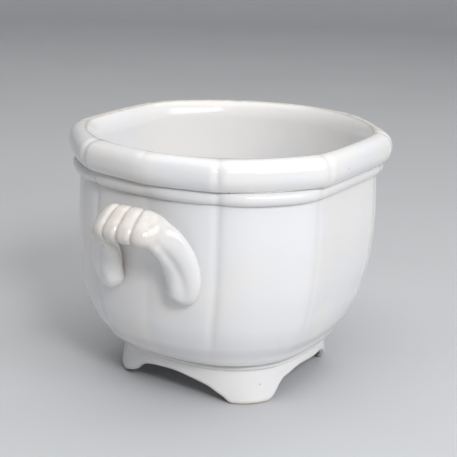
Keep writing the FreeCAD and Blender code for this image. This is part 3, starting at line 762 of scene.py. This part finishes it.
def outline_row(radius, height, facet=0.0, bulge=None, **numbers):
    """A row of a turned outline; the bulge goes with the facet unless it is given."""
    given = {"facet": facet, "bulge": facet if bulge is None else bulge, **numbers}
    return [radius, height] + [given.get(label, 0.0) for label in LOBE_NUMBERS]


def wall_radius(scene, out):
    """Radius of the bowl's wall, a share of the way out from the base to the crease radius."""
    return scene.planter_base.radius + out * (scene.planter_bowl.crease_radius - scene.planter_base.radius)


def bowl_rows(scene):
    """The bowl's section: underside, wall, seat for the rim, upright inside, cove and floor."""
    bowl = scene.planter_bowl
    base_radius = scene.planter_base.radius
    low, seat = BOWL_LOW.z, BOWL_HIGH.z
    rows = [outline_row(share * base_radius, low, square=max(0.0, 2.0 * share - 1.0))
            for share in (0.0, 0.1, 0.25, 0.4, 0.55, 0.7, 0.82, 0.91, 0.97)]
    shares = np.linspace(0.0, 1.0, 110) ** 1.25
    for share, (out, facet, square, lean) in zip(shares, steady(WALL_ROWS, shares)):
        height = low + share * (seat - low)
        # the corners at the foot and the seat get gathered glaze with painted shade
        crevice = max(0.75 * near(height, low, FOOT_CORNER), 0.8 * near(height, seat, SEAT_CORNER))
        rows.append(outline_row(wall_radius(scene, out), height, facet, square=square, lean=lean,
                                nip=WALL_NIP * facet ** 2, crevice=crevice))
    inside = bowl.crease_radius - bowl.wall
    rows.append(outline_row((rows[-1][0] + inside) / 2.0, seat, 0.5, flat=0.5 / bowl.flat))
    floor = low + bowl.floor
    bend = low + STRAIGHT_FROM * (seat - low)

    def add(radius, height):
        lower = max(0.0, (bend - height) / (bend - low))
        rows.append(outline_row(radius, height, flat=1.0 / (bowl.flat - lower * bowl.flat_draft)))

    for height in np.linspace(seat, bend, 12):
        add(inside, height)
    slope = math.atan2(bowl.draft, bend - floor)
    middle_height = floor + bowl.cove
    along = (middle_height - floor - bowl.cove * math.sin(slope)) / math.cos(slope)
    middle = inside - bowl.draft + along * math.sin(slope) - bowl.cove * math.cos(slope)
    round_rows = arc((middle, middle_height), bowl.cove, -math.degrees(slope), -90.0, 26)
    first = round_rows[0]
    for share in np.linspace(0.0, 1.0, 22)[1:-1]:
        add(inside + share * (first[0] - inside), bend + share * (first[1] - bend))
    for radius, height in round_rows:
        add(radius, height)
    for share in (0.75, 0.5, 0.3, 0.14, 0.0):
        add(middle * share, floor)
    return rows


def rim_rows(scene):
    """The rim's section: seat, small roll, notch, large roll, lip, and the flared mouth inside."""
    bowl = scene.planter_bowl
    rim = scene.planter_rim
    seat, top = RIM_LOW.z, RIM_HIGH.z
    crease = bowl.crease_radius
    wall = wall_radius(scene, WALL_ROWS[-1][1])
    fullness = 1.0 + math.sin(math.radians(ROLL_FROM))
    bead = rim.bead_height / fullness
    roll = (top - seat - rim.bead_height) / fullness
    bead_middle = (crease + rim.bead_overhang - bead, seat + bead)
    roll_middle = (crease + rim.roll_overhang - roll, top - roll)
    notch = Vector((crease + NOTCH_OUT, seat + rim.bead_height - NOTCH_BELOW))
    # the corner at the seat gets gathered glaze with painted shade
    rows = [outline_row(wall, seat, 1.0, nip=WALL_NIP, crevice=0.9)]

    def add_outside(radius, height, facet, bulge, swell, nip=0.0, drop=0.0):
        # gathered glaze with painted shade in the notch and along the seat
        crevice = max(near((Vector((radius, height)) - notch).length, 0.0, NOTCH_CORNER),
                      0.9 * near(height, seat, RIM_CORNER) * near(radius, wall, 6.0 * MM))
        rows.append(outline_row(radius, height, facet, bulge, rim_bulge=swell, nip=nip, drop=drop,
                                crevice=crevice))

    # the small roll swells as the wall does, and its upper side is a little rounder than the wall
    add_outside(wall + 0.4 * MM, seat + 0.12 * MM, 1.0, 1.0, 0.1, WALL_NIP)
    add_outside(wall + 1.3 * MM, seat + 0.42 * MM, 1.0, 1.0, 0.25, 0.4)
    for angle in np.linspace(-ROLL_FROM, BEAD_TO, 22):
        across, up = ray(angle)
        facet = 1.0 - 0.5 * (1.0 - across) if angle > 0.0 else 1.0
        add_outside(bead_middle[0] + bead * across, bead_middle[1] + bead * up, facet, facet, 0.36 * facet,
                    0.5 * across ** 2, 0.3 * up * across)
    add_outside(notch.x, notch.y, 0.78, 0.72, 0.3, -0.15)
    add_outside(notch.x + 2.4 * MM, notch.y + 0.3 * MM, 0.86, 0.45, 0.6)

    # the large roll has its own swell, is squarer above than a circle, and is gripped hardest by the pinches
    for angle in np.linspace(-ROLL_FROM, ROLL_TO, 46):
        across, up = ray(angle)
        facet, grip = 1.0, max(0.0, across - 0.45) / 0.55
        if angle > 0.0:
            facet = 1.0 - 0.2 * (1.0 - max(0.2, across))
            grip = ray(0.85 * angle)[0] ** 0.8
            across, up = across ** SQUARER, up ** SQUARER
        add_outside(roll_middle[0] + roll * across, roll_middle[1] + roll * up, facet, 0.0, facet,
                    grip * across, grip * up)

    # the lip and the flared mouth follow the round inside and its flat faces
    inside = crease - bowl.wall
    mouth = inside + rim.mouth_flare

    def add_inside(radius, height, flare, lip=0.0):
        rows.append(outline_row(radius, height, flat=1.0 / (bowl.flat + flare * rim.flat_flare), lip=lip))

    add_inside(mouth + 0.25 * MM, top - 0.12 * MM, 1.02, 0.85)
    add_inside(mouth - 0.15 * MM, top - 0.3 * MM, 0.99, 1.0)
    bend = (rim.mouth_flare ** 2 + rim.flare_height ** 2) / (2.0 * rim.mouth_flare)
    most = math.degrees(math.asin((rim.flare_height - 0.62 * MM) / bend))
    for angle in np.linspace(most, 0.0, 16):
        across, up = ray(angle)
        flare = bend * (1.0 - across)
        add_inside(inside + flare, top - rim.flare_height + bend * up, flare / rim.mouth_flare,
                   near(angle, most, 1.5))
    for height in np.linspace(top - rim.flare_height, seat, 9)[1:]:
        add_inside(inside, height, 0.0)
    rows.append(outline_row((inside + wall) / 2.0, seat, 0.5, flat=0.5 / bowl.flat))
    rows.append(rows[0])
    return rows


# Each row up the collar, of four: height, share of its step outwards, crevice (glaze gathered there, with
# painted shade)
COLLAR_ROWS = [(0.15, 0.2, 0.45), (0.5, 0.5, 0.3), (1.0, 0.85, 0.1), (1.6, 1.0, 0), (2.2, 0.95, 0),
               (2.7, 0.7, 0.2), (3.1, 0.35, 0.4), (3.4, 0.05, 0.6), (3.7, -0.1, 0.75), (4.0, -0.1, 0.75)]
# Rounding of the apron's lower edges
EDGE = 2.4 * MM


def base_rows(scene):
    """Each row: rise, inset, lift, fixed, height, step, crevice and sole, once round the apron's section."""
    base = scene.planter_base
    top = BASE_HIGH.z
    band = top - base.collar_height
    wall = base.wall
    rows = []
    for angle in np.linspace(90.0, 0.0, 7):
        inset, lift = (EDGE * (1.0 - part) for part in ray(angle))
        rows.append((0.0, inset, lift, 0, 0, 0, 0, 1))
    for share in np.linspace(0.0, 1.0, 26)[1:]:
        # painted shade with gathered glaze where the apron runs up under the collar
        rows.append((share, 0.0, EDGE * (1.0 - share), 0, 0, 0, near(share, 1.0, 0.06), 0))
    for height, out, crevice in COLLAR_ROWS:
        height = band + height / 4.0 * base.collar_height
        rows.append((1, 0, 0, 1, height, out * base.collar_step, crevice, 0))
    rows += [(1, wall / 2.0, 0, 1, top, 0, 0, 0), (1, wall, 0, 1, top, 0, 0, 0)]
    for share in np.linspace(1.0, 0.0, 22):
        rows.append((share, wall, EDGE * (1.0 - share), 0, 0, 0, 0, 0))
    for angle in np.linspace(0.0, 90.0, 6)[1:]:
        inset, lift = (EDGE * (1.0 - part) for part in ray(angle))
        rows.append((0.0, wall - inset, lift, 0, 0, 0, 0, 1))
    return rows + [(0.0, wall / 2.0, 0.0, 0, 0, 0, 0, 1), rows[0]]


# Each row of half a handle: way out from the wall, way to the side, rise, width, thickness, upward tilt and
# sideways turn of the outer face in degrees
STRAP_ROWS = [
    (1.000, 0.000, 1.000, 1.04, 1.00, 52, 0),
    (0.960, 0.450, 0.992, 1.00, 0.98, 50, 1),
    (0.740, 0.700, 0.885, 0.94, 0.96, 42, 3),
    (0.480, 0.855, 0.710, 0.98, 1.00, 30, 6),
    (0.265, 0.960, 0.480, 1.05, 1.08, 17, 8),
    (0.140, 0.995, 0.240, 1.05, 1.10, 8, 10),
    (0.070, 0.935, 0.040, 0.95, 1.10, 0, 12),
    (0.010, 0.860, -0.100, 0.80, 1.00, -8, 12),
]


# Columns of the mesh round the strap, and the power that rounds its section
STRAP_STEPS, STRAP_POWER = 72, 0.78
# How deep the legs' ends reach into the wall, and the length over which they close
BURIED, CLOSING = 5.0 * MM, 9.0 * MM
# Along a leg: where the vein starts on the outer face and how far it strays, and place and length of the lobe
VEIN_START, VEIN_DRIFT, LOBE_AT, LOBE_LENGTH = 0.66, 1.2, 0.78, 0.12


def handle_path(scene):
    """Points down half a handle from its crown's middle, with the way across the strap and out of it."""
    size = scene.planter_handles
    positions = np.linspace(0.0, len(STRAP_ROWS) - 1.0, 400)
    out, side, rise, width, thickness, tilt, turned = flowing(STRAP_ROWS, positions).T
    centre = np.stack([scene.planter_bowl.crease_radius + out * size.stand_off, side * size.leg_spread,
                       size.foot_height + rise * (size.crown_height - size.foot_height)], 1)
    along = np.gradient(centre, axis=0)
    along[0] = (0.0, 1.0, 0.0)
    along /= np.linalg.norm(along, axis=1)[:, None]
    tilt, turned = np.radians(tilt), np.radians(turned)
    outward = np.stack([np.cos(tilt) * np.cos(turned), np.cos(tilt) * np.sin(turned), np.sin(tilt)], 1)
    outward -= along * (outward * along).sum(1)[:, None]
    outward /= np.linalg.norm(outward, axis=1)[:, None]
    across = np.cross(along, outward)
    length = np.concatenate([[0.0], np.cumsum(np.linalg.norm(np.diff(centre, axis=0), axis=1))])
    even = np.linspace(0.0, length[-1], 130)
    columns = np.column_stack([centre, across, outward, width * size.strap_width / 2.0,
                               thickness * size.strap_thickness / 2.0])
    return even, np.stack([np.interp(even, length, column) for column in columns.T], 1)


def handle_piece(name, scene, facing, node):
    """A handle from its half path, mirrored and turned to its side of the pot."""
    size = scene.planter_handles
    length, half = handle_path(scene)
    leg = np.clip((length - size.crown_width / 2.0) / (length[-1] - size.crown_width / 2.0), 0.0, 1.0)
    # the power brings the vein's deepest place above the middle of the leg
    vein = np.where(leg > 0.0, np.sin(np.pi * leg ** 0.6), 0.0)
    vein_place = VEIN_START - VEIN_DRIFT * leg
    lobe = np.exp(-((leg - LOBE_AT) / LOBE_LENGTH) ** 2)
    closing = np.clip((length[-1] - length) / CLOSING, 0.0, 1.0)
    closing = np.sqrt(1.0 - (1.0 - closing) ** 2)
    half = np.column_stack([half, length, leg, vein_place, vein, lobe, closing])
    # its columns are the place, the ways across and outward, then the numbers; the other half mirrors what
    # runs along Y
    other = half[:0:-1].copy()
    other[:, [1, 4, 7, 11]] *= -1.0
    rows = np.vstack([other, half])
    for first in (0, 3, 6):
        rows[:, first:first + 2] *= facing
    numbers = {label: rows[:, index + 9] for index, label in enumerate(STRAP_NUMBERS)}
    numbers["way_across"] = rows[:, 3:6]
    numbers["way_outward"] = rows[:, 6:9]
    item = outline_object(name, rows[:, :3], numbers)
    sizes = {"Steps Around": STRAP_STEPS, "Roundness": STRAP_POWER,
             "Inner Radius": scene.planter_bowl.crease_radius - BURIED,
             **named(size, "crown_width", "ribs", "rib_depth", "vein_depth")}
    finish_piece(item, strap_tree, sizes, scene, node)


# Glaze

def cells(size):
    """The scale of a pattern whose cells are so many millimetres across."""
    return 1.0 / (size * MM)


def glaze_material(scene):
    """White tin glaze, dipped over cream earthenware: an even gloss that lies thick and cool where it is
    level, gathers warm in the creases and crevices, which painted shade darkens further, and breaks thin and
    brown over edges, with painted shade in the handles' grooves. The feet are wiped bare."""
    found = bpy.data.materials.get("White dipped glaze on earthenware")
    if found:
        return found
    look = scene.planter_glaze
    material = bpy.data.materials.new("White dipped glaze on earthenware")
    add = shader_tree(material)
    place = add("ShaderNodeTexCoord").outputs["Object"]
    known = {name: add("ShaderNodeAttribute", attribute_name=name).outputs["Fac"]
             for name in ("crease", "crevice", "lip", "sole")}

    # broad drifts of thicker and thinner glaze
    drift = add("NOISE", place, cells(62.5), 2.0, 0.5)
    drifted = add("SMOOTH RAMP", drift, 0.38, 0.62, 0.0, 1.0)
    tone = add("TINT", drifted, look.white, look.cool)

    # blotches break up the glaze gathered in creases and crevices with its painted shade, and the thin glaze
    # over edges
    blotch = add("NOISE", place, cells(6.667), 4.0, 0.6)
    uneven = add("RAMP", blotch, 0.3, 0.7, 0.55, 1.15)
    # creases and crevices take the gathered glaze's tone, darkened as painted shade; edges take the thin
    # glaze
    for name, strength, tint in (("crease", 0.14, look.pooled_glaze_and_shade), ("crevice", 0.36, look.pooled_glaze_and_shade),
                                 ("lip", 0.6, look.thin)):
        amount = add("MULTIPLY", known[name], strength, uneven, use_clamp=True)
        tone = add("TINT", amount, tone, tint)

    # painted shade: dark brown laid in patches into the deepest part of the crevices
    patch = add("NOISE", place, cells(45.45), 3.0, 0.55)
    shade_patches = add("SMOOTH RAMP", patch, 0.42, 0.66, 0.03, 0.36)
    deep = add("SMOOTH RAMP", known["crevice"], 0.45, 1.0, 0.0, 1.0)
    painted_crevice_shade = add("MULTIPLY", shade_patches, deep, use_clamp=True)
    tone = add("TINT", painted_crevice_shade, tone, look.crevice_shade_and_pinholes)

    # pinholes in the glaze, about a millimetre across, in about a third of the pattern's cells
    holes = add("ShaderNodeTexVoronoi", {"Vector": place, "Scale": cells(29.41), "Randomness": 1.0})
    hole = add("RAMP", holes.outputs["Distance"], 0.012, 0.03, 0.75, 0.0)
    hole = add("MULTIPLY", hole, add("GREATER_THAN", holes.outputs["Color"], 0.58))
    tone = add("TINT", hole, tone, look.crevice_shade_and_pinholes)

    # bare clay under the feet
    grains = add("NOISE", place, cells(1.111), 2.0)
    bare = add("MULTIPLY", known["sole"], 1.6, uneven, use_clamp=True)
    tone = add("TINT", bare, tone, look.clay)

    # gloss: a little duller where the glaze is thin, and rough where it is wiped away
    smear = add("NOISE", place, cells(22.22), 3.0)
    gloss = add("RAMP", smear, 0.3, 0.7, look.gloss, look.gloss + 0.07)
    rough = add("MIX", bare, gloss, 0.85)

    # bump: slow waves left by dipping, a faint orange peel, the pinholes, and the clay's grain
    height = add("NOISE", place, cells(14.29), 1.0)
    peel = add("NOISE", place, cells(1.923), 1.0)
    for relief, depth in ((peel, 0.05), (hole, -0.35), (add("MULTIPLY", grains, bare), 0.4)):
        height = add("MULTIPLY_ADD", relief, depth, height)
    bump = add("ShaderNodeBump", {"Height": height, "Strength": 0.35, "Distance": 0.6 * MM})
    shader = add("ShaderNodeBsdfPrincipled", {"Base Color": tone, "Roughness": rough, "Normal": bump,
                                              "IOR": 1.52, "Specular IOR Level": 0.5})
    add("ShaderNodeOutputMaterial", {"Surface": shader})
    return material


# Operators

class PLANTER_OT_bowl(bpy.types.Operator):
    """Build the lobed bowl"""
    bl_idname = "planter.bowl"
    bl_label = "Bowl"

    def execute(self, context):
        lobed_piece("glazed_bowl", context.scene, bowl_rows(context.scene), "bowl")
        return {"FINISHED"}


class PLANTER_OT_rim(bpy.types.Operator):
    """Build the double rolled rim"""
    bl_idname = "planter.rim"
    bl_label = "Rim"

    def execute(self, context):
        lobed_piece("glazed_rim", context.scene, rim_rows(context.scene), "rim_ring")
        return {"FINISHED"}


class PLANTER_OT_base(bpy.types.Operator):
    """Build the apron with its four bracket feet"""
    bl_idname = "planter.base"
    bl_label = "Bracket Feet"

    def execute(self, context):
        scene = context.scene
        base = scene.planter_base
        columns = np.array(base_rows(scene), float).T
        item = turned_outline("glazed_bracket_feet", columns[1], columns[0], FOOT_NUMBERS, columns)
        sizes = named(base, "steps", "radius", "square", "spread", "flare", "tuck", "arch")
        sizes["Apron Height"] = BASE_HIGH.z - base.collar_height
        finish_piece(item, foot_tree, sizes, scene, "foot_base")
        return {"FINISHED"}


class PLANTER_OT_handles(bpy.types.Operator):
    """Build the two ribbed strap handles"""
    bl_idname = "planter.handles"
    bl_label = "Handles"

    def execute(self, context):
        handle_piece("glazed_handle_left", context.scene, -1.0, "handle_left")
        handle_piece("glazed_handle_right", context.scene, 1.0, "handle_right")
        return {"FINISHED"}


class PLANTER_OT_stage(bpy.types.Operator):
    """Set up the floor, lights and camera"""
    bl_idname = "planter.stage"
    bl_label = "Stage"

    def execute(self, context):
        make_floor()
        make_lights()
        make_camera(context.scene)
        context.scene.view_settings.view_transform = "Standard"
        return {"FINISHED"}


class PLANTER_PT_panel(bpy.types.Panel):
    bl_label = "Glazed Planter"
    bl_idname = "PLANTER_PT_panel"
    bl_space_type = "VIEW_3D"
    bl_region_type = "UI"
    bl_category = "Planter"

    def draw(self, context):
        for group, properties in GROUPS.items():
            box = self.layout.box()
            for name in properties.__annotations__:
                box.prop(getattr(context.scene, group), name)
        for operator in OPERATORS:
            self.layout.operator(operator.bl_idname)


def make_floor():
    """A pale sheet that runs along the floor and curves up all round."""
    flat, bend, top, steps = 2.6, 0.9, 3.2, 96
    profile = [(flat / 2.0, 0.0), *arc((flat, bend), bend, -90.0, 0.0, 24), (flat + bend, top)]
    points = [(0.0, 0.0, 0.0)]
    for angle in np.linspace(0.0, 2.0 * math.pi, steps, endpoint=False):
        points += [(out * math.cos(angle), out * math.sin(angle), up) for out, up in profile]
    ring = len(profile)
    faces = []
    for number in range(steps):
        here = 1 + number * ring
        after = 1 + (number + 1) % steps * ring
        faces.append((0, here, after))
        faces += [(here + index, here + index + 1, after + index + 1, after + index)
                  for index in range(ring - 1)]
    mesh = bpy.data.meshes.new("studio_floor")
    mesh.from_pydata(points, [], faces)
    mesh.shade_smooth()
    floor = bpy.data.objects.new("studio_floor", mesh)
    bpy.context.scene.collection.objects.link(floor)
    material = bpy.data.materials.new("Matte paper backdrop")
    add = shader_tree(material)
    place = add("ShaderNodeTexCoord").outputs["Object"]
    mottle = add("NOISE", place, cells(333.3), 2.0)
    tone = add("TINT", mottle, srgb("#C7C8CA"), srgb("#CECFD1"))
    shader = add("ShaderNodeBsdfPrincipled", {"Base Color": tone, "Roughness": 0.9})
    add("ShaderNodeOutputMaterial", {"Surface": shader})
    mesh.materials.append(material)


# Each lamp: name, place in metres, size across and up, power in watts, colour
LAMPS = [
    ("window", (-1.3, -1.5, 1.45), 0.4, 0.5, 20.0, "#FFFFFF"),
    ("broad window", (-0.56, -1.97, 1.25), 1.4, 1.1, 19.5, "#F9FBFF"),
    ("overhead", (0.0, 0.0, 2.4), 3.0, 3.0, 43.0, "#FFFEFC"),
]


def make_lights():
    """Two windows on the camera's side, a soft light overhead, and a dim room round them."""
    for name, place, across, up, power, tint in LAMPS:
        lamp = bpy.data.lights.new(name, "AREA")
        lamp.shape = "RECTANGLE"
        lamp.size = across
        lamp.size_y = up
        lamp.energy = power
        lamp.color = srgb(tint)[:3]
        item = bpy.data.objects.new(name, lamp)
        item.location = place
        item.rotation_euler = (Vector((0.0, 0.0, 0.12)) - item.location).to_track_quat("-Z", "Y").to_euler()
        bpy.context.scene.collection.objects.link(item)
    world = bpy.data.worlds.new("soft room")
    add = shader_tree(world)
    sky = add("ShaderNodeBackground", {"Color": srgb("#E2E8F2"), "Strength": 0.13})
    add("ShaderNodeOutputWorld", {"Surface": sky})
    bpy.context.scene.world = world


# The photograph's view, fitted to the planter's outline in it: way round, way up and roll in degrees
VIEW_ROUND, VIEW_UP, VIEW_ROLL = -59.465, 16.205, 1.466
# Distance of the camera from the middle of its view, the middle's height, and its shift to the side
VIEW_DISTANCE, VIEW_HEIGHT, VIEW_SHIFT = 1056.5 * MM, 124.7 * MM, 0.591 * MM
# Focal length and width of the photograph in pixels, and width of the camera's sensor in millimetres
FOCAL_LENGTH, PHOTO_WIDTH, SENSOR = 1207.86, 457.0, 36.0


def make_camera(scene):
    """Put the camera where the photograph was taken from."""
    azimuth, elevation, roll = np.radians((VIEW_ROUND, VIEW_UP, VIEW_ROLL))
    back = Vector((math.sin(azimuth) * math.cos(elevation), -math.cos(azimuth) * math.cos(elevation),
                   math.sin(elevation)))
    level = (-back).cross(Vector((0.0, 0.0, 1.0))).normalized()
    upright = level.cross(-back)
    target = Vector((0.0, 0.0, VIEW_HEIGHT)) + level * VIEW_SHIFT
    right = level * math.cos(roll) + upright * math.sin(roll)
    up = upright * math.cos(roll) - level * math.sin(roll)
    place = target + back * VIEW_DISTANCE
    lens = bpy.data.cameras.new("photograph view")
    lens.sensor_width = SENSOR
    lens.lens = SENSOR * FOCAL_LENGTH / PHOTO_WIDTH
    camera = bpy.data.objects.new("photograph view", lens)
    turned = Matrix((right, up, back)).transposed().to_4x4()
    camera.matrix_world = Matrix.Translation(place) @ turned
    scene.collection.objects.link(camera)
    scene.camera = camera


OPERATORS = [PLANTER_OT_bowl, PLANTER_OT_rim, PLANTER_OT_base, PLANTER_OT_handles, PLANTER_OT_stage]
CLASSES = list(GROUPS.values()) + OPERATORS + [PLANTER_PT_panel]


def register():
    for each in CLASSES:
        bpy.utils.register_class(each)
    for name, properties in GROUPS.items():
        setattr(bpy.types.Scene, name, PointerProperty(type=properties))


def unregister():
    for name in GROUPS:
        delattr(bpy.types.Scene, name)
    for each in reversed(CLASSES):
        bpy.utils.unregister_class(each)


def main():
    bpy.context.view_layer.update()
    register()
    bpy.ops.planter.stage()
    bpy.ops.planter.bowl()
    bpy.ops.planter.rim()
    bpy.ops.planter.base()
    bpy.ops.planter.handles()
    bpy.context.view_layer.update()


if __name__ == "__main__":
    main()
